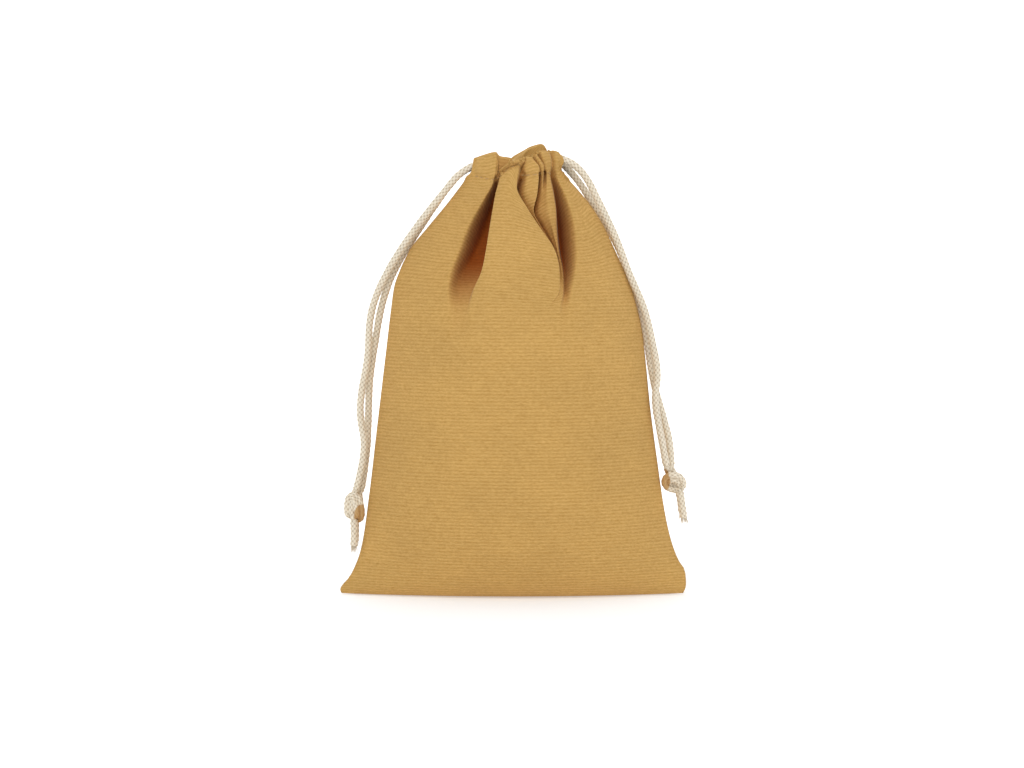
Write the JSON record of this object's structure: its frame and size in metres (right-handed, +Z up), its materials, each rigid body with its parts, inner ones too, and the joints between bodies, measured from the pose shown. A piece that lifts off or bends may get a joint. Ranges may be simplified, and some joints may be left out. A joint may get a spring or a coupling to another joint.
{
  "type": "drawstring gift pouch",
  "caption": "Small sewn fabric pouch whose gathered mouth is drawn shut by knotted cords that leave the casing at each side.",
  "frame": {"origin": "middle of the base, on the surface that the filled pouch stands on", "axes": "+Z up from the base to the mouth, +X to the right along the wide side, -Y to the front"},
  "size_m": [0.1513, 0.066, 0.197],
  "materials": {
    "ribbed_fabric": "fine ribs, soft sheen",
    "sewing_thread": "matte thread",
    "drawcord": "braided, slightly glossy"
  },
  "bodies": {
    "pouch": {"front_panel": "ribbed_fabric", "back_panel": "ribbed_fabric", "left_seam_allowance": "ribbed_fabric", "right_seam_allowance": "ribbed_fabric", "bottom_seam_allowance": "ribbed_fabric", "left_seam_stitching": "sewing_thread", "right_seam_stitching": "sewing_thread", "bottom_seam_stitching": "sewing_thread", "left_cord_slit_bend": "drawcord", "right_cord_slit_bend": "drawcord"},
    "front_lip": {"front_casing": "ribbed_fabric", "front_casing_stitching": "sewing_thread", "left_cord_front_run": "drawcord", "right_cord_front_run": "drawcord"},
    "back_lip": {"back_casing": "ribbed_fabric", "back_casing_stitching": "sewing_thread", "left_cord_back_run": "drawcord", "right_cord_back_run": "drawcord"},
    "left_drawstring": {"left_cord_front_strand": "drawcord", "left_cord_back_strand": "drawcord"},
    "left_cord_end": {"left_knot": "drawcord", "left_tail_front": "drawcord", "left_tail_back": "drawcord"},
    "right_drawstring": {"right_cord_front_strand": "drawcord", "right_cord_back_strand": "drawcord"},
    "right_cord_end": {"right_knot": "drawcord", "right_tail_front": "drawcord", "right_tail_back": "drawcord"}
  },
  "joints": [
    {"name": "front_lip_tilt", "type": "hinge", "parent": "pouch", "child": "front_lip", "pos_m": [0, -0.0135, 0.184], "axis": [1, 0, 0], "range_deg": [0, 24]},
    {"name": "back_lip_tilt", "type": "hinge", "parent": "pouch", "child": "back_lip", "pos_m": [0, 0.0135, 0.184], "axis": [1, 0, 0], "range_deg": [-24, 0]},
    {"name": "left_cord_swing", "type": "hinge", "parent": "pouch", "child": "left_drawstring", "pos_m": [-0.0164, 0, 0.1882], "axis": [0, 1, 0], "range_deg": [0, 70], "deforming": ["left_cord_slit_bend"]},
    {"name": "right_cord_swing", "type": "hinge", "parent": "pouch", "child": "right_drawstring", "pos_m": [0.0164, 0, 0.192], "axis": [0, -1, 0], "range_deg": [0, 70], "deforming": ["right_cord_slit_bend"]},
    {"name": "left_cord_draw", "type": "slide", "parent": "left_drawstring", "child": "left_cord_end", "axis": [0.1191, 0, 0.9929], "range_m": [0, 0.05], "deforming": ["left_cord_front_strand", "left_cord_back_strand"]},
    {"name": "right_cord_draw", "type": "slide", "parent": "right_drawstring", "child": "right_cord_end", "axis": [-0.1191, 0, 0.9929], "range_m": [0, 0.05], "deforming": ["right_cord_front_strand", "right_cord_back_strand"]}
  ],
  "couplings": [
    {"joint": "right_cord_draw", "follows": "left_cord_draw", "ratio": 1},
    {"joint": "front_lip_tilt", "follows": "left_cord_draw", "rad_per_m": 8.377},
    {"joint": "back_lip_tilt", "follows": "left_cord_draw", "rad_per_m": -8.377}
  ]
}
